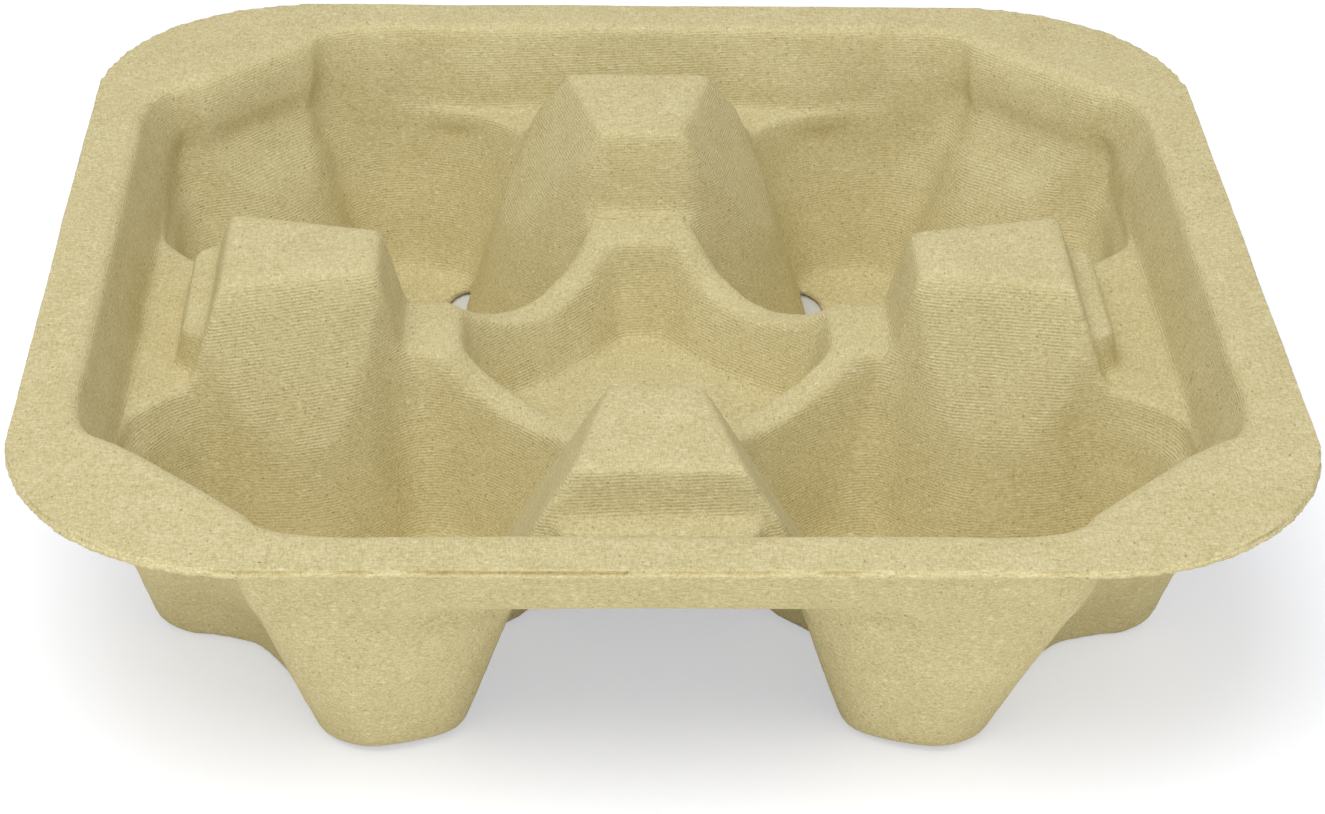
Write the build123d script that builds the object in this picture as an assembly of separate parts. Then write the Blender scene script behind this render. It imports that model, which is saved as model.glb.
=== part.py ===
from build123d import *
import math
import os

# Overall sizes in mm. The rim plane is the datum: depths are measured down from it.
tray_width = 215.0
tray_height = 51.3
wall = 2.0
outline_corner_radius = 42.7
rim_edge_radius = 2.4

# The four cups: truncated cones with a rounded floor.
cup_pitch = 100.0
cup_mouth_radius = 46.4
cup_half_angle = 17.0
cup_floor_radius = 3.2

# Between the cups lies a shallow basin, whose floor is the level of the ledges and necks.
basin_width = 192.0
basin_draft = 11.7
basin_floor_radius = 2.0
ledge_depth = 16.4

# Each cup is gripped by three bulged panels: one in the tray's corner and one on the side of
# each hump. A panel is a leaning round pillar, cut off by a sloping flat. The wall turns from
# each panel into the next lobe of the cup with a wide radius.
panel_lean = 18.3
flat_slope = 31.5
lobe_corner_radius = 6.0
corner_panel_radius = 21.5
corner_panel_reach = 16.8
corner_flat_distance = 40.7
hump_panel_radius = 24.0
hump_panel_reach = 17.6
hump_panel_turn = 18.5

# Humps: raised blocks between neighbouring cups, wider towards the outside.
hump_top_depth = 0.3
hump_inner_station = 48.3
hump_outer_station = 75.6
hump_inner_width = 14.8
hump_outer_width = 27.2
hump_inner_draft = 15.5
hump_outer_draft = 18.0
hump_edge_radius = 2.4

# A step lies along the foot of each hump, on the ledge.
step_station = 82.7
step_length = 33.0
step_rise = 7.4
step_draft = 10.0
step_corner_radius = 2.6

# Central well with four short arms that point at the necks. Its mouth laps into the basin.
well_depth = 35.0
well_lap = 1.0
well_mouth_reach = 34.0
well_mouth_arm_width = 12.6
well_mouth_bow = -1.0
well_floor_reach = 28.0
well_floor_arm_width = 8.0
well_floor_bow = 2.2

# Finger scoops lower the ridge between the well and each cup.
scoop_radius = 28.0
scoop_depth = 23.8
scoop_length = 92.0

# Drain slots in the cup floors, round the foot of the panels on two of the humps.
slot_radius = 12.9
slot_station = 65.6
slot_offset = 24.9
slot_height = 5.2

# Tools run past the faces that they cut by this much.
overrun = 6.0

quarter_turn = 90.0
half_quarter_turn = 45.0

cup_depth = tray_height - wall
half_pitch = cup_pitch / 2


def slope_of(angle):
    return math.tan(math.radians(angle))


def grown(offset, angle):
    # Sideways shift of a face that leans by this angle, when it moves by offset along its normal.
    return offset / math.cos(math.radians(angle))


def around(shape):
    # The same shape at each of the four sides or corners.
    return [shape.rotate(Axis.Z, quarter_turn * turn) for turn in range(4)]


def rounded_profile(points, corners, radius):
    # A closed outline, with the listed corners rounded.
    section = make_face(Polyline(*points, close=True))
    picked = [section.vertices().sort_by_distance(points[index])[0] for index in corners]
    return fillet(picked, radius)


def cup(offset):
    slope = slope_of(cup_half_angle)
    floor = -(cup_depth + offset)
    rim_radius = cup_mouth_radius + grown(offset, cup_half_angle) - offset * slope
    floor_radius = rim_radius + (floor + offset) * slope
    margin = rim_radius + 2 * rim_edge_radius
    points = [(0, overrun), (margin, overrun), (margin, -offset), (rim_radius, -offset), (floor_radius, floor),
              (0, floor)]
    section = rounded_profile(points, [3], rim_edge_radius - offset)
    foot = section.vertices().sort_by_distance((floor_radius, floor))[0]
    section = fillet(foot, cup_floor_radius + offset)
    return revolve(Plane.XZ * section, Axis.Z)


def basin(offset):
    # Two crossing troughs. Their side walls lie inside the cups.
    slope = slope_of(basin_draft)
    floor = -(ledge_depth + offset)
    rim_half = basin_width / 2 + grown(offset, basin_draft) - offset * slope
    floor_half = rim_half + (floor + offset) * slope
    points = [(-tray_width, overrun), (tray_width, overrun), (tray_width, -offset), (rim_half, -offset),
              (floor_half, floor), (-floor_half, floor), (-rim_half, -offset), (-tray_width, -offset)]
    section = rounded_profile(points, [3, 6], rim_edge_radius - offset)
    floor_corners = section.vertices().group_by(Axis.Y)[0]
    section = fillet(floor_corners, basin_floor_radius + offset)
    trough = extrude(Plane.XZ * section, amount=half_pitch, both=True)
    return trough + trough.rotate(Axis.Z, quarter_turn)


def panel_section(offset, radius, reach, level):
    # Section of a panel at one level, in a cup's own frame, at the side of +X: the pillar's round
    # front, and the radii at its two sides, where it turns into the cup's wall.
    height = level + cup_depth
    cup_radius = (cup_mouth_radius + level * slope_of(cup_half_angle) + grown(offset, cup_half_angle))
    axis = reach + radius + height * slope_of(panel_lean)
    bulge = radius - offset
    turn = lobe_corner_radius + offset
    to_turn = cup_radius - turn
    cosine = (to_turn ** 2 + axis ** 2 - (bulge + turn) ** 2) / (2 * to_turn * axis)
    centre = Vector(to_turn, 0).rotate(Axis.Z, math.degrees(math.acos(cosine)))
    on_cup = centre * (cup_radius / to_turn)
    on_pillar = centre + (Vector(axis, 0) - centre) * (turn / (bulge + turn))
    middle = centre + ((on_cup - centre).normalized() + (on_pillar - centre).normalized()).normalized() * turn
    outside = on_cup * ((cup_radius + cup_pitch / 2) / cup_radius)
    mirrored = [Vector(point.X, -point.Y) for point in (outside, on_cup, middle, on_pillar)]
    edges = [
        Line(outside, on_cup), ThreePointArc(on_cup, middle, on_pillar),
        ThreePointArc(on_pillar, Vector(axis - bulge, 0), mirrored[3]),
        ThreePointArc(mirrored[3], mirrored[2], mirrored[1]), Line(mirrored[1], mirrored[0]),
        Line(mirrored[0], outside)]
    return Plane.XY.offset(level) * make_face(edges)


def pillar(offset, radius, reach):
    # It runs past the cup's floor and rim.
    sections = [panel_section(offset, radius, reach, level) for level in (-(cup_depth + overrun), overrun)]
    return loft(sections, ruled=True)


def flat_block(offset, top):
    # Everything behind a flat that crosses the datum at X = 0 and leans towards -X below it.
    slope = slope_of(flat_slope)
    low = -(cup_depth + overrun)
    edge = grown(offset, flat_slope)
    outline = Polyline((edge + top * slope, top), (cup_pitch, top), (cup_pitch, low),
                       (edge + low * slope, low), close=True)
    return extrude(Plane.XZ * make_face(outline), amount=cup_pitch, both=True)


def corner_panel(offset):
    flat = flat_block(offset, -offset)
    rim_edge = flat.edges().filter_by(Axis.Y).group_by(Axis.Z)[-1].sort_by(Axis.X)[0]
    flat = Pos(corner_flat_distance, 0) * fillet(rim_edge, rim_edge_radius - offset)
    panel = pillar(offset, corner_panel_radius, corner_panel_reach) & flat
    return Pos(half_pitch, half_pitch) * panel.rotate(Axis.Z, half_quarter_turn)


def mirrored_half(shape):
    # The part of a shape at Y > 0, and its mirror image.
    side = 2 * cup_pitch
    half = shape & Pos(0, side / 2, 0) * Box(2 * side, side, 2 * side)
    return half + half.mirror(Plane.XZ)


def hump_block(offset):
    # The hump's top, its end faces and the flats at its sides, built along +X.
    inner_slope = slope_of(hump_inner_draft)
    outer_slope = slope_of(hump_outer_draft)
    low = -(cup_depth + overrun)
    top = -(hump_top_depth + offset)
    inner = hump_inner_station + grown(offset, hump_inner_draft) - offset * inner_slope
    outer = hump_outer_station - grown(offset, hump_outer_draft) + offset * outer_slope
    side = Polyline((inner + (low - top) * inner_slope, low), (inner, top), (outer, top),
                    (outer - (low - top) * outer_slope, low), close=True)
    block = extrude(Plane.XZ * make_face(side), amount=cup_pitch, both=True)
    spread = math.atan2((hump_outer_width - hump_inner_width) / 2, hump_outer_station - hump_inner_station)
    flat = flat_block(offset, overrun).rotate(Axis.Z, math.degrees(spread) - quarter_turn)
    flat = Pos(hump_inner_station, hump_inner_width / 2, -hump_top_depth) * flat
    block = mirrored_half(block & flat)
    return fillet(block.faces().sort_by(Axis.Z)[-1].edges(), hump_edge_radius - offset)


def hump(offset):
    # Each half is a panel of its own cup.
    panel = pillar(offset, hump_panel_radius, hump_panel_reach)
    panel = Pos(half_pitch, half_pitch) * panel.rotate(Axis.Z, hump_panel_turn - quarter_turn)
    return hump_block(offset) & mirrored_half(panel)


def step(offset):
    # Its inner part lies inside the hump.
    inner = hump_outer_station - hump_edge_radius
    shrink = grown(offset, step_draft) - offset * slope_of(step_draft)
    outer = step_station - shrink
    length = step_length - 2 * shrink
    top = -(ledge_depth - step_rise + offset)
    plate = Pos((inner + outer) / 2, 0) * Rectangle(outer - inner, length)
    plate = fillet(plate.vertices().group_by(Axis.X)[-1], step_corner_radius)
    return extrude(Plane.XY.offset(top) * plate, amount=-(step_rise + overrun), taper=-step_draft)


def star(depth, reach, arm_width, bow):
    # Four short arm ends, joined by bowed edges. A positive bow bends towards the centre.
    half = arm_width / 2
    middle = (reach + half) / 2 - bow / math.sqrt(2)
    edges = []
    for turn in range(4):
        spin = Rotation(0, 0, quarter_turn * turn)
        edges.append(spin * Line((reach, -half), (reach, half)))
        edges.append(spin * ThreePointArc((reach, half), (middle, middle), (half, reach)))
    return Plane.XY.offset(-depth) * make_face(edges)


def well(offset):
    mouth_reach = well_mouth_reach + offset
    floor_reach = well_floor_reach + offset
    mouth = star(ledge_depth - well_lap, mouth_reach, well_mouth_arm_width + 2 * offset, well_mouth_bow)
    floor = star(well_depth + offset, floor_reach, well_floor_arm_width + 2 * offset, well_floor_bow)
    return loft([mouth, floor], ruled=True)


def scoop(offset):
    axis_height = scoop_radius - scoop_depth
    bar = Cylinder(scoop_radius + offset, scoop_length, rotation=(0, quarter_turn, 0))
    return Pos(0, 0, axis_height) * bar.rotate(Axis.Z, half_quarter_turn)


def mould(offset):
    # The space above the tray (offset 0), or the space above its underside (offset wall).
    slab_height = overrun + offset
    slab = Pos(0, 0, slab_height / 2 - offset) * Box(2 * tray_width, 2 * tray_width, slab_height)
    space = slab + basin(offset)
    for cup_space in around(Pos(half_pitch, half_pitch) * cup(offset)):
        space += cup_space
    space += well(offset)
    groove = scoop(offset)
    space += groove
    space += groove.rotate(Axis.Z, quarter_turn)
    for solid in around(corner_panel(offset)) + around(hump(offset)) + around(step(offset)):
        space -= solid
    return space


def drain_slots():
    # They cut the floor only: the hump's panel that stands in each slot stays whole.
    slots = []
    for side in (1, -1):
        disc = Pos(slot_offset * side, slot_station, slot_height / 2 - tray_height)
        slot = disc * Cylinder(slot_radius, slot_height) - hump(0).rotate(Axis.Z, quarter_turn)
        slots += [slot, slot.rotate(Axis.Z, 2 * quarter_turn)]
    return slots


def outline():
    plate = Rectangle(tray_width, tray_width)
    plate = fillet(plate.vertices(), outline_corner_radius)
    return Plane.XY.offset(-tray_height) * extrude(plate, amount=tray_height)


def make_tray():
    tray = outline() & (mould(wall) - mould(0))
    for slot in drain_slots():
        tray -= slot
    return Pos(0, 0, tray_height) * tray


if __name__ == "__main__":
    os.makedirs("parts", exist_ok=True)
    export_step(make_tray(), "parts/tray.step")
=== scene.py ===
import math

import bmesh
import bpy
from mathutils import Matrix, Vector, noise


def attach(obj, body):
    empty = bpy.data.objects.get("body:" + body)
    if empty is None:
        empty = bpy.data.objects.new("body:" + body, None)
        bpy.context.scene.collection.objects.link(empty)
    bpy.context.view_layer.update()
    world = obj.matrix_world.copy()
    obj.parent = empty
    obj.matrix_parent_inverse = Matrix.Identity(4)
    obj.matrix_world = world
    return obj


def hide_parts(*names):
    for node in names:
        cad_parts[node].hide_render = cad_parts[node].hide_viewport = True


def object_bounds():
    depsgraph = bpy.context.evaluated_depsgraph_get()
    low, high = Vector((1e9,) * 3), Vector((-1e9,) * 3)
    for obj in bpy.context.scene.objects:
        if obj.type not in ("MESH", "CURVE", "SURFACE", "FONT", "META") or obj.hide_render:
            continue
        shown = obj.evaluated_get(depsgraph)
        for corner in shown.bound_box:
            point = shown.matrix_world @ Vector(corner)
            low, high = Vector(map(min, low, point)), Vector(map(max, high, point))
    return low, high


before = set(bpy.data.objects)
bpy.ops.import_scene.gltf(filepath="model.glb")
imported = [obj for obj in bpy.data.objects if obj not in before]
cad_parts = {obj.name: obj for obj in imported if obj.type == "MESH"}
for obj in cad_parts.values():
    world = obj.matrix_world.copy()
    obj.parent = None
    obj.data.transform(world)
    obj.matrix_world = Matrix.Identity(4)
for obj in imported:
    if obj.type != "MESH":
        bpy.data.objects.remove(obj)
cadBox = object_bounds()
mm = 0.001
rimHeight = cadBox[1].z
rimHalf = cadBox[1].x


# Tray: the CAD solid, remeshed finely and softened like pulp that dried on a mould

trayShape = {
    "voxel": 0.9 * mm,
    "triangles": 118000,
    "wall": 2.0 * mm,
    "outlineRadius": 42.7 * mm,
    "softPasses": 4,
    "neckPasses": 11,             # the necks and the ends of the front and back ledges are rounder
    "neckLevels": (29 * mm, 38.5 * mm),
    "neckInside": 50 * mm,
    "stripStart": (42 * mm, 76 * mm),
    "footPasses": (16, 6),        # so are the feet at the floor, the side lobes less
    "footBlend": (62 * mm, 70 * mm),
    "footLevel": 8.0 * mm,
    "footFade": 3 * mm,
    "edgePasses": 1,
    "edgeBand": 3.0 * mm,         # the rim's outer edge keeps its thickness this far in
    "lean": (-1.4 * mm, -0.4 * mm),    # the humps and inner walls dried a little off the rim's centre
    "tuck": (1.0 * mm, 7.8 * mm),      # how far the lobes narrow at the floor: front and back, sides
    "tuckHeight": 30 * mm,
    "spread": (2.4 * mm, 1.6 * mm),    # the side lobes stand out further, and more at the floor
    "reach": (2.2 * mm, 1.6 * mm),     # the front and back lobes too: at the ledges, at the floor
    "opening": 1.2 * mm,          # the basin is wider than deep at the rim
    "skirtIn": 1.8 * mm,          # and its front and back walls lean in more
    "ledgeLap": 1.4 * mm,         # the cups cut further into the side ledges
    "lapLevels": (33 * mm, 38 * mm),
    "lapFade": 5 * mm,
    "ramps": {                    # where each change starts and ends, from the centre, the floor or the rim
        "high": (36 * mm, 50 * mm),
        "lobeReach": (56 * mm, 68 * mm),
        "lobeSide": (20 * mm, 34 * mm),
        "lobeCorner": (42 * mm, 57 * mm),
        "sideFoot": (58 * mm, 67 * mm),
        "frontFoot": (46 * mm, 56 * mm),
        "innerWalls": (12 * mm, 26 * mm),
        "basinWall": (84 * mm, 91 * mm),
        "flange": (87 * mm, 94 * mm),
        "flangeEdge": (3 * mm, 10 * mm),
        "skirtBottom": (29 * mm, 33 * mm),
        "skirtTop": (37 * mm, 50 * mm),
        "skirtSide": (34 * mm, 46 * mm),
    },
    "waveSize": 26 * mm,
    "waveHeight": 0.22 * mm,
    "lumpSize": 4.0 * mm,
    "lumpHeight": 0.06 * mm,
    "floorFade": 2 * mm,
    "inset": 0.2 * mm,            # the rim shrank this far, so its waves stay inside the box
    "insetFade": (1.5 * mm, 0.2 * mm),
}


def edgeDistance(point):
    # how far inside the rim's outline a point lies, seen from above
    radius = trayShape["outlineRadius"]
    x = abs(point.x) - (rimHalf - radius)
    y = abs(point.y) - (rimHalf - radius)
    outside = math.hypot(max(x, 0), max(y, 0))
    return radius - outside - min(max(x, y), 0)


def rise(value, low, high):
    # 0 at low, 1 at high, with soft ends
    part = min(1, max(0, (value - low) / (high - low)))
    return part * part * (3 - 2 * part)


def fall(value, low, high):
    return rise(-value, -high, -low)


def between(value, low, high, soft):
    # 1 between low and high, 0 further out than soft
    return rise(value, low - soft, low) * rise(-value, -high - soft, -high)


def applyModifiers(piece):
    depsgraph = bpy.context.evaluated_depsgraph_get()
    finished = bpy.data.meshes.new_from_object(piece.evaluated_get(depsgraph))
    piece.modifiers.clear()
    piece.data = finished


def copyOfNode(node, name):
    bm = bmesh.new()
    bm.from_mesh(node.data)
    bmesh.ops.remove_doubles(bm, verts=bm.verts, dist=0.001 * mm)
    mesh = bpy.data.meshes.new(name)
    bm.to_mesh(mesh)
    bm.free()
    piece = bpy.data.objects.new(name, mesh)
    bpy.context.collection.objects.link(piece)
    return piece


def passesAt(point):
    shape = trayShape
    inside = edgeDistance(point)
    if point.z > rimHeight - 1.5 * shape["wall"] and inside < shape["edgeBand"]:
        return shape["edgePasses"]
    low, high = shape["neckLevels"]
    stripX, stripY = shape["stripStart"]
    onStrip = abs(point.x) > stripX and abs(point.y) > stripY
    if low < point.z < high and (inside > shape["neckInside"] or onStrip):
        return shape["neckPasses"]
    soft = shape["softPasses"]
    if point.z < shape["footLevel"]:
        front, side = shape["footPasses"]
        passes = front + (side - front) * rise(abs(point.x), *shape["footBlend"])
        return soft + round((passes - soft) * rise(shape["footLevel"] - point.z, 0, shape["footFade"]))
    return soft


def softenPulp(bm):
    passes = [(v, passesAt(v.co)) for v in bm.verts]
    for turn in range(max(count for v, count in passes)):
        verts = [v for v, count in passes if count > turn]
        bmesh.ops.smooth_vert(bm, verts=verts, factor=0.5, use_axis_x=True, use_axis_y=True, use_axis_z=True)


def warpPockets(bm):
    # the tray isn't quite as true as its mould
    shape = trayShape
    ramps = shape["ramps"]
    for v in bm.verts:
        inside = edgeDistance(v.co)
        across, along, z = abs(v.co.x), abs(v.co.y), v.co.z
        low = rise(shape["tuckHeight"] - z, 0, shape["tuckHeight"])
        high = rise(z, *ramps["high"])
        sideLobe = rise(across, *ramps["lobeReach"]) * rise(along, *ramps["lobeSide"])
        frontLobe = rise(along, *ramps["lobeReach"]) * rise(across, *ramps["lobeSide"])
        share = rise(inside, *ramps["innerWalls"]) * (1 - sideLobe)

        lap = shape["ledgeLap"] * between(z, *shape["lapLevels"], shape["lapFade"])
        outward = sideLobe * (shape["spread"][0] * (1 - high) + lap) * fall(across, *ramps["flange"])
        outward += sideLobe * shape["spread"][1] * low
        wall = rise(across, *ramps["basinWall"]) * rise(inside, *ramps["flangeEdge"])
        outward += shape["opening"] * high * wall
        outward -= shape["tuck"][0] * low * frontLobe * rise(across, *ramps["lobeCorner"])

        middle = (1 - low) * (1 - high) * fall(along, *ramps["flange"])
        forward = frontLobe * shape["reach"][0] * middle
        forward += frontLobe * shape["reach"][1] * low * fall(across, *ramps["frontFoot"])
        tuck = shape["tuck"][1] * low
        forward -= tuck * rise(across, *ramps["sideFoot"]) * rise(along, *ramps["lobeCorner"])
        skirt = shape["skirtIn"] * (rise(z, *ramps["skirtBottom"]) * fall(z, *ramps["skirtTop"]))
        forward -= skirt * rise(along, *ramps["basinWall"]) * fall(across, *ramps["skirtSide"])

        v.co.x += outward * math.copysign(1, v.co.x) + shape["lean"][0] * share
        v.co.y += forward * math.copysign(1, v.co.y) + shape["lean"][1] * share


def dryPulp(bm):
    # the wall waves a little over its length and is lumpy close up
    shape = trayShape
    insetLow, insetFull = shape["insetFade"]
    bm.normal_update()
    for v in bm.verts:
        wave = noise.noise(v.co / shape["waveSize"]) * shape["waveHeight"]
        lump = noise.noise(v.co / shape["lumpSize"]) * shape["lumpHeight"]
        onFloor = min(1, v.co.z / shape["floorFade"])
        onRim = rise(v.co.z, rimHeight - insetLow, rimHeight - insetFull)
        v.co += v.normal * (wave + lump - shape["inset"] * onRim) * onFloor


def keepInBox(bm):
    for v in bm.verts:
        v.co = [min(high, max(low, c)) for low, c, high in zip(cadBox[0], v.co, cadBox[1])]


def mouldTray():
    tray = copyOfNode(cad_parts["tray"], "pulpTray")
    remesh = tray.modifiers.new("voxels", "REMESH")
    remesh.mode = "VOXEL"
    remesh.voxel_size = trayShape["voxel"]
    applyModifiers(tray)
    bm = bmesh.new()
    bm.from_mesh(tray.data)
    softenPulp(bm)
    warpPockets(bm)
    dryPulp(bm)
    keepInBox(bm)
    bm.to_mesh(tray.data)
    bm.free()
    thin = tray.modifiers.new("thin", "DECIMATE")
    thin.ratio = min(1, trayShape["triangles"] / (2 * len(tray.data.polygons)))
    thin.use_collapse_triangulate = True
    applyModifiers(tray)
    print("tray moulded:", len(tray.data.polygons), "triangles")
    return tray


# Marks: what drying and handling left on the tray, as dents in a locally finer mesh

trayMarks = {
    "fineEdge": 0.34 * mm,
    "fineFront": -55 * mm,        # only the front of the rim's edge needs the finest mesh
    "rimFace": 1.6 * mm,          # the rim's outer face lies less than this far in
    "lipDrop": 0.8 * mm,          # the crease under the rim's top edge lies this far down
    "lipWidth": 0.4 * mm,
    "lipDepth": 0.45 * mm,
    "lipNear": 1.8,               # the mesh is finer this far from the crease, in widths
    "gapSize": 7 * mm,            # how long the crease's whole stretches are
    "backLip": 0.3,               # how deep it is at the sides and back, as a share
    "deepLip": (-38 * mm, -7 * mm),    # along the front it is torn deeper here
    "ragged": 0.16 * mm,
    "raggedSizes": (1.7 * mm, 6 * mm),
    "dents": [                    # points in mm at a height, then half width and depth
        ([(-12.8, -102.2), (-11.6, -101.4), (-10.4, -100.1)], 51.3, 0.8, 0.6),
        ([(39.6, -103.9), (41.9, -103.2), (43.9, -104.1), (46.6, -103.3), (50.3, -105.0)], 51.3, 0.4, 0.4),
        ([(-62.4, -99.7), (-62.1, -102.3), (-62.3, -105.1)], 51.3, 0.35, 0.35),
        ([(-40.8, -95.2), (-38.6, -95.5)], 50.6, 1.0, 0.5),
        ([(29.5, -95.0), (32.7, -94.7), (36.7, -95.2)], 50.6, 0.9, 0.4),
    ],
    "ring": ((-2.4, 38.6), 34.9, 3.7, 0.8, 0.09),
    "fold": ([(-9.5, 42.4), (6.5, 42.4)], 34.9, 1.2, -0.7),    # a ridge at the foot of the back hump
    "dentMargin": 0.9 * mm,
    "dentLevels": 3 * mm,         # a dent reaches no further up or down
    "wobbleSize": 1.1 * mm,
    "depthSize": 2.3 * mm,
}


def dentPaths():
    for points, level, halfWidth, depth in trayMarks["dents"] + [trayMarks["fold"]]:
        yield [Vector(point) * mm for point in points], level * mm, halfWidth * mm, depth * mm
    (x, y), level, radius, halfWidth, depth = trayMarks["ring"]
    turns = [math.tau * step / 24 for step in range(25)]
    circle = [Vector((x + radius * math.cos(turn), y + radius * math.sin(turn))) for turn in turns]
    yield [point * mm for point in circle], level * mm, halfWidth * mm, depth * mm


def pathDistance(point, path):
    best = 1.0
    for start, end in zip(path, path[1:]):
        along = end - start
        share = min(1, max(0, (point - start).dot(along) / along.length_squared))
        best = min(best, (point - start - along * share).length)
    return best


def lipReach(point):
    # how near a point is to the crease under the rim's top edge: 0 on it, 1 at its side
    if edgeDistance(point) > trayMarks["rimFace"]:
        return 9
    return abs(point.z - (rimHeight - trayMarks["lipDrop"])) / trayMarks["lipWidth"]


def refine(bm, isNear, rounds):
    for turn in range(rounds):
        near = {v for v in bm.verts if isNear(v)}
        edges = []
        for e in bm.edges:
            count = (e.verts[0] in near) + (e.verts[1] in near)
            if count and e.calc_length() > trayMarks["fineEdge"] * (1 if count == 2 else 2.5):
                edges.append(e)
        if not edges:
            break
        bmesh.ops.subdivide_edges(bm, edges=edges, cuts=1)
        bmesh.ops.triangulate(bm, faces=[f for f in bm.faces if len(f.verts) > 3])


def creaseLip(bm):
    # the ragged crease along the rim's outer face
    marks = trayMarks
    refine(bm, lambda v: lipReach(v.co) < marks["lipNear"], 2)
    refine(bm, lambda v: lipReach(v.co) < marks["lipNear"] and v.co.y < marks["fineFront"], 2)
    left, right = marks["deepLip"]
    front = marks["fineFront"]
    shortSize, longSize = marks["raggedSizes"]
    for v in bm.verts:
        reach = lipReach(v.co)
        if reach > 3:
            continue
        broken = rise(noise.noise(v.co / marks["gapSize"]), -0.25, 0.3)
        if left < v.co.x < right and v.co.y < 0:
            broken = 1.5
        broken *= 1 - (1 - marks["backLip"]) * rise(v.co.y, front - 20 * mm, front)
        cut = max(0, 1 - reach ** 2) * broken * rise(-v.normal.z, -0.85, -0.5)
        frayed = 0.5 + noise.noise(v.co / shortSize) * 0.6 + noise.noise(v.co / longSize) * 0.5
        side = Vector((v.normal.x, v.normal.y, 0))
        v.co -= v.normal * marks["lipDepth"] * cut + side * marks["ragged"] * frayed


def pressDent(bm, path, level, halfWidth, depth):
    marks = trayMarks
    middle = sum(path, Vector((0, 0))) / len(path)
    size = max((point - middle).length for point in path) + halfWidth + 1.5 * mm

    def isNear(v):
        if (v.co.xy - middle).length > size or abs(v.co.z - level) > marks["dentLevels"]:
            return False
        return v.normal.z > 0.1 and pathDistance(v.co.xy, path) < halfWidth + marks["dentMargin"]

    bm.normal_update()
    refine(bm, isNear, 3)
    bm.normal_update()
    for v in [v for v in bm.verts if isNear(v)]:
        wobble = 1 + 0.6 * noise.noise(v.co / marks["wobbleSize"])
        reach = pathDistance(v.co.xy, path) / (halfWidth * wobble)
        cut = max(0, 1 - reach ** 2) ** 1.5
        v.co -= v.normal * depth * cut * (1 + 0.5 * noise.noise(v.co / marks["depthSize"]))


def pressMarks(tray):
    bm = bmesh.new()
    bm.from_mesh(tray.data)
    bm.normal_update()
    creaseLip(bm)
    for path, level, halfWidth, depth in dentPaths():
        pressDent(bm, path, level, halfWidth, depth)
    keepInBox(bm)
    bm.to_mesh(tray.data)
    bm.free()
    tray.data.polygons.foreach_set("use_smooth", [True] * len(tray.data.polygons))
    print("marks pressed:", len(tray.data.polygons), "triangles")


# Pulp: uncoated fibre with dark and pale specks, and the marks of the mould's wire cloth

pulpLook = {
    "colour": (0.64, 0.558, 0.30, 1),
    "paleColour": (0.79, 0.71, 0.44, 1),
    "darkColour": (0.48, 0.40, 0.19, 1),
    "speckColour": (0.25, 0.18, 0.085, 1),
    "fleckColour": (0.84, 0.78, 0.55, 1),
    "toneRange": (0.37, 0.63),
    "roughness": 0.93,
    "shine": 0.2,
    "cloudSize": 110,              # noise scales are counts per metre
    "clumpSize": 900,
    "fibreSize": 3300,
    "specks": (820, 0.2, 0.2, (1, 0.6, 1)),    # count, radius, share of the cells, stretch
    "flecks": (900, 0.3, 0.12, (0.5, 1, 1)),
    "wireSpacing": 0.5 * mm,
    "wireTilt": 2.0,               # degrees
    "wireWander": 1.8,
    "wireFlat": (0.8, 0.65),       # how level the wall is where the wires fade out and show in full
    "wireSteep": (0.12, 0.45),
    "wirePatches": (0.3, 0.55),
    "tones": {"fibres": 0.4, "clumps": 0.1, "clouds": 0.1, "wires": 0.09},
    "heights": {"fibres": 0.4, "clumps": 0.15, "wires": 0.24},
    "tints": {"flecks": 0.55, "specks": 0.6},
    "bump": 0.8,
    "bumpHeight": 0.3 * mm,
}


def addNode(tree, kind, **values):
    node = tree.nodes.new(kind)
    for key, value in values.items():
        if key in node.inputs:
            node.inputs[key].default_value = value
        else:
            setattr(node, key, value)
    return node


def sumNode(tree, operation, *values):
    node = tree.nodes.new("ShaderNodeMath")
    node.operation = operation
    for socket, value in zip(node.inputs, values):
        if isinstance(value, bpy.types.NodeSocket):
            tree.links.new(value, socket)
        else:
            socket.default_value = value
    return node.outputs["Value"]


def rangeNode(tree, value, low, high):
    node = tree.nodes.new("ShaderNodeMapRange")
    node.inputs["From Min"].default_value = low
    node.inputs["From Max"].default_value = high
    tree.links.new(value, node.inputs["Value"])
    return node.outputs["Result"]


def noiseNode(tree, place, size, detail, stretch=(1, 1, 1)):
    mapping = addNode(tree, "ShaderNodeMapping", Scale=stretch)
    tree.links.new(place, mapping.inputs["Vector"])
    node = addNode(tree, "ShaderNodeTexNoise", Scale=size, Detail=detail, Roughness=0.62)
    tree.links.new(mapping.outputs["Vector"], node.inputs["Vector"])
    return node.outputs["Fac"]


def speckNode(tree, place, size, radius, share, stretch):
    # round spots in a few cells of a Voronoi pattern
    mapping = addNode(tree, "ShaderNodeMapping", Scale=stretch)
    tree.links.new(place, mapping.inputs["Vector"])
    cells = addNode(tree, "ShaderNodeTexVoronoi", Scale=size, Randomness=1.0)
    tree.links.new(mapping.outputs["Vector"], cells.inputs["Vector"])
    split = addNode(tree, "ShaderNodeSeparateColor")
    tree.links.new(cells.outputs["Color"], split.inputs["Color"])
    chosen = sumNode(tree, "LESS_THAN", split.outputs["Red"], share)
    spot = rangeNode(tree, cells.outputs["Distance"], radius, 0.5 * radius)
    return sumNode(tree, "MULTIPLY", spot, chosen)


def tintNode(tree, base, factor, colour):
    node = addNode(tree, "ShaderNodeMix", data_type="RGBA")
    tree.links.new(factor, node.inputs["Factor"])
    tree.links.new(base, node.inputs["A"])
    node.inputs["B"].default_value = colour
    return node.outputs["Result"]


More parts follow.
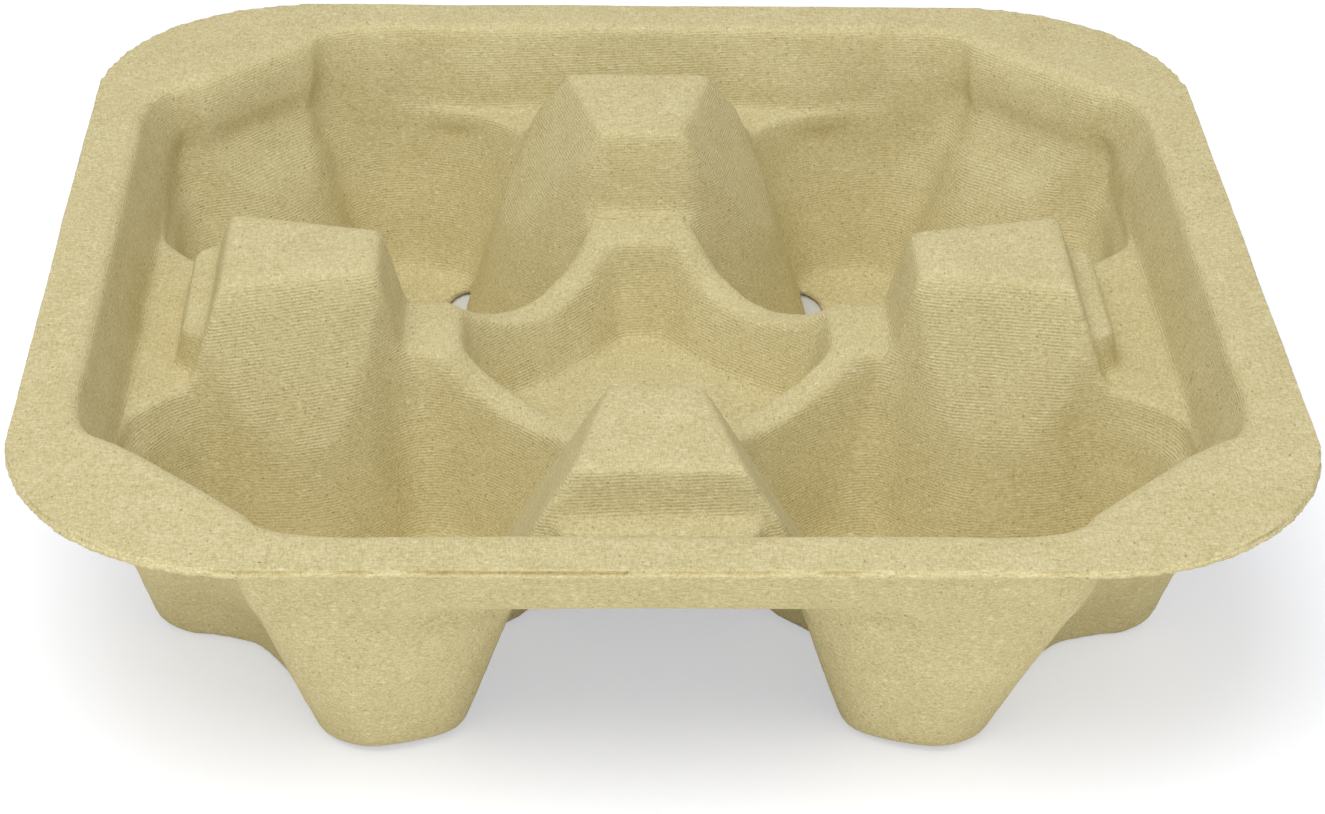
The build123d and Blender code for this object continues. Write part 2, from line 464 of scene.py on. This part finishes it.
def wireCloth(tree, place):
    # the marks of the wires, around 0, only where the wall leans and faces up
    look = pulpLook
    tilted = addNode(tree, "ShaderNodeMapping")
    tilted.inputs["Rotation"].default_value = (0, math.radians(look["wireTilt"]), 0)
    tree.links.new(place, tilted.inputs["Vector"])
    wires = addNode(tree, "ShaderNodeTexWave", bands_direction="Z", Distortion=look["wireWander"], Detail=2.0)
    wires.inputs["Detail Scale"].default_value = 0.45
    wires.inputs["Scale"].default_value = math.pi / 10 / look["wireSpacing"]
    tree.links.new(tilted.outputs["Vector"], wires.inputs["Vector"])
    normal = addNode(tree, "ShaderNodeSeparateXYZ")
    tree.links.new(addNode(tree, "ShaderNodeNewGeometry").outputs["Normal"], normal.inputs["Vector"])
    upward = normal.outputs["Z"]
    leaning = sumNode(tree, "MULTIPLY", rangeNode(tree, upward, *look["wireFlat"]),
                      rangeNode(tree, upward, *look["wireSteep"]))
    patches = noiseNode(tree, place, look["cloudSize"] * 1.7, 2.0)
    shown = sumNode(tree, "MULTIPLY", leaning, rangeNode(tree, patches, *look["wirePatches"]))
    return sumNode(tree, "MULTIPLY", shown, sumNode(tree, "SUBTRACT", wires.outputs["Fac"], 0.5))


def pulpMaterial():
    look = pulpLook
    material = bpy.data.materials.new("mouldedPulp")
    material.use_nodes = True
    tree = material.node_tree
    shader = tree.nodes["Principled BSDF"]
    shader.inputs["Roughness"].default_value = look["roughness"]
    shader.inputs["Specular IOR Level"].default_value = look["shine"]
    place = addNode(tree, "ShaderNodeTexCoord").outputs["Object"]

    clouds = noiseNode(tree, place, look["cloudSize"], 2.0)
    clumps = noiseNode(tree, place, look["clumpSize"], 3.0)
    fibres = sumNode(tree, "ADD", noiseNode(tree, place, look["fibreSize"], 3.0, (0.3, 1, 1)),
                     noiseNode(tree, place, look["fibreSize"], 3.0, (1, 0.3, 1)))
    cloth = wireCloth(tree, place)

    tones = look["tones"]
    grain = sumNode(tree, "MULTIPLY", clumps, tones["clumps"])
    grain = sumNode(tree, "MULTIPLY_ADD", fibres, tones["fibres"], grain)
    grain = sumNode(tree, "MULTIPLY_ADD", clouds, tones["clouds"], grain)
    grain = sumNode(tree, "MULTIPLY_ADD", cloth, tones["wires"], grain)
    ramp = addNode(tree, "ShaderNodeValToRGB")
    dark, pale = look["toneRange"]
    ramp.color_ramp.elements[0].position = dark
    ramp.color_ramp.elements[0].color = look["darkColour"]
    ramp.color_ramp.elements[1].position = pale
    ramp.color_ramp.elements[1].color = look["paleColour"]
    ramp.color_ramp.elements.new(0.5).color = look["colour"]
    tree.links.new(grain, ramp.inputs["Fac"])

    tints = look["tints"]
    flecks = sumNode(tree, "MULTIPLY", speckNode(tree, place, *look["flecks"]), tints["flecks"])
    specks = sumNode(tree, "MULTIPLY", speckNode(tree, place, *look["specks"]), tints["specks"])
    colour = tintNode(tree, ramp.outputs["Color"], flecks, look["fleckColour"])
    colour = tintNode(tree, colour, specks, look["speckColour"])
    tree.links.new(colour, shader.inputs["Base Color"])

    heights = look["heights"]
    height = sumNode(tree, "MULTIPLY", fibres, heights["fibres"])
    height = sumNode(tree, "MULTIPLY_ADD", cloth, heights["wires"], height)
    height = sumNode(tree, "MULTIPLY_ADD", clumps, heights["clumps"], height)
    bump = addNode(tree, "ShaderNodeBump", Strength=look["bump"], Distance=look["bumpHeight"])
    tree.links.new(height, bump.inputs["Height"])
    tree.links.new(bump.outputs["Normal"], shader.inputs["Normal"])
    return material


# Studio: white floor with a pale shadow, soft light from the front and above

studio = {
    "floorSize": 6.0,
    "floorColour": (0.9, 0.9, 0.9, 1),
    "floorRoughness": 0.9,
    "seenColour": (0.72, 0.72, 0.72, 1),    # what the camera sees of the floor, under its own glow
    "glowColour": (0.96, 1.0, 1.12, 1),     # a slightly blue shadow
    "floorGlow": 0.42,
    "paintedShadowPlace": (0, 0.07, 0),     # painted shadow: the floor under the tray gets no glow, so it looks shaded through the drain slots
    "paintedShadowRadii": (0.048, 0.06),
    "worldColour": (1, 1, 1, 1),
    "worldStrength": 0.555,
    "lamps": {                    # place in metres, width and height, watts
        "key": ((-0.20, -0.52, 1.22), (0.8, 0.8), 9.1),
        "frontStrip": ((0.0, -1.0, 0.07), (0.9, 0.1), 1.9),
    },
}


def seenFactor(tree):
    # 1 for what the camera sees, also in a reflection or through glass
    rays = addNode(tree, "ShaderNodeLightPath").outputs
    seen = sumNode(tree, "MAXIMUM", rays["Is Glossy Ray"], rays["Is Transmission Ray"])
    return sumNode(tree, "MAXIMUM", rays["Is Camera Ray"], seen)


def makeFloor():
    bm = bmesh.new()
    bmesh.ops.create_grid(bm, x_segments=1, y_segments=1, size=studio["floorSize"] / 2)
    mesh = bpy.data.meshes.new("floor")
    bm.to_mesh(mesh)
    bm.free()
    floor = bpy.data.objects.new("floor", mesh)
    bpy.context.collection.objects.link(floor)
    material = bpy.data.materials.new("whiteFloor")
    material.use_nodes = True
    tree = material.node_tree
    bounce = tree.nodes["Principled BSDF"]
    bounce.inputs["Base Color"].default_value = studio["floorColour"]
    bounce.inputs["Roughness"].default_value = studio["floorRoughness"]
    bounce.inputs["Specular IOR Level"].default_value = 0.0
    matt = addNode(tree, "ShaderNodeBsdfDiffuse", Color=studio["seenColour"])
    glow = addNode(tree, "ShaderNodeEmission", Color=studio["glowColour"])
    away = addNode(tree, "ShaderNodeVectorMath", operation="DISTANCE")
    tree.links.new(addNode(tree, "ShaderNodeTexCoord").outputs["Object"], away.inputs[0])
    away.inputs[1].default_value = studio["paintedShadowPlace"]
    # painted shadow: the glow fades out in a circle under the tray, so the floor there looks shaded
    far = rangeNode(tree, away.outputs["Value"], *studio["paintedShadowRadii"])
    tree.links.new(sumNode(tree, "MULTIPLY", far, studio["floorGlow"]), glow.inputs["Strength"])
    both = addNode(tree, "ShaderNodeAddShader")
    tree.links.new(matt.outputs["BSDF"], both.inputs[0])
    tree.links.new(glow.outputs["Emission"], both.inputs[1])
    pick = addNode(tree, "ShaderNodeMixShader")
    tree.links.new(seenFactor(tree), pick.inputs["Fac"])
    tree.links.new(bounce.outputs["BSDF"], pick.inputs[1])
    tree.links.new(both.outputs["Shader"], pick.inputs[2])
    tree.links.new(pick.outputs["Shader"], tree.nodes["Material Output"].inputs["Surface"])
    mesh.materials.append(material)
    print("floor laid")


def lightStudio():
    world = bpy.data.worlds.new("studioWorld")
    bpy.context.scene.world = world
    world.use_nodes = True
    tree = world.node_tree
    background = tree.nodes["Background"]
    background.inputs["Color"].default_value = studio["worldColour"]
    level = studio["worldStrength"]
    strength = sumNode(tree, "MULTIPLY_ADD", seenFactor(tree), 1 - level, level)
    tree.links.new(strength, background.inputs["Strength"])
    for name, (place, (width, height), watts) in studio["lamps"].items():
        light = bpy.data.lights.new(name, "AREA")
        light.shape = "RECTANGLE"
        light.size = width
        light.size_y = height
        light.energy = watts
        lamp = bpy.data.objects.new(name, light)
        lamp.location = place
        towards = Vector((0, 0, 0.5 * rimHeight)) - lamp.location
        lamp.rotation_euler = towards.to_track_quat("-Z", "Y").to_euler()
        bpy.context.collection.objects.link(lamp)
    print("lamps on")


# Camera: found from the rim's outline in the photograph

photoView = {
    "lensMm": 94.54,
    "sensorMm": 36.0,
    "place": (-20.2 * mm, -554.4 * mm, rimHeight + 289.4 * mm),
    "lookDown": 30.21,             # degrees
    "turn": -2.28,
    "roll": 1.28,
}


def placeCamera():
    data = bpy.data.cameras.new("photoCamera")
    data.sensor_width = photoView["sensorMm"]
    data.lens = photoView["lensMm"]
    data.clip_start = 0.01
    camera = bpy.data.objects.new("photoCamera", data)
    turn = Matrix.Rotation(math.radians(photoView["turn"]), 4, "Z")
    tilt = Matrix.Rotation(math.radians(90 - photoView["lookDown"]), 4, "X")
    roll = Matrix.Rotation(math.radians(photoView["roll"]), 4, "Z")
    camera.matrix_world = Matrix.Translation(Vector(photoView["place"])) @ turn @ tilt @ roll
    bpy.context.collection.objects.link(camera)
    bpy.context.scene.camera = camera
    print("camera placed")


def saveSizes():
    print("scene built")


bpy.context.scene.view_settings.view_transform = "Standard"
tray = mouldTray()
pressMarks(tray)
tray.data.materials.clear()
tray.data.materials.append(pulpMaterial())
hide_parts("tray")
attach(tray, "root")
makeFloor()
lightStudio()
placeCamera()
saveSizes()
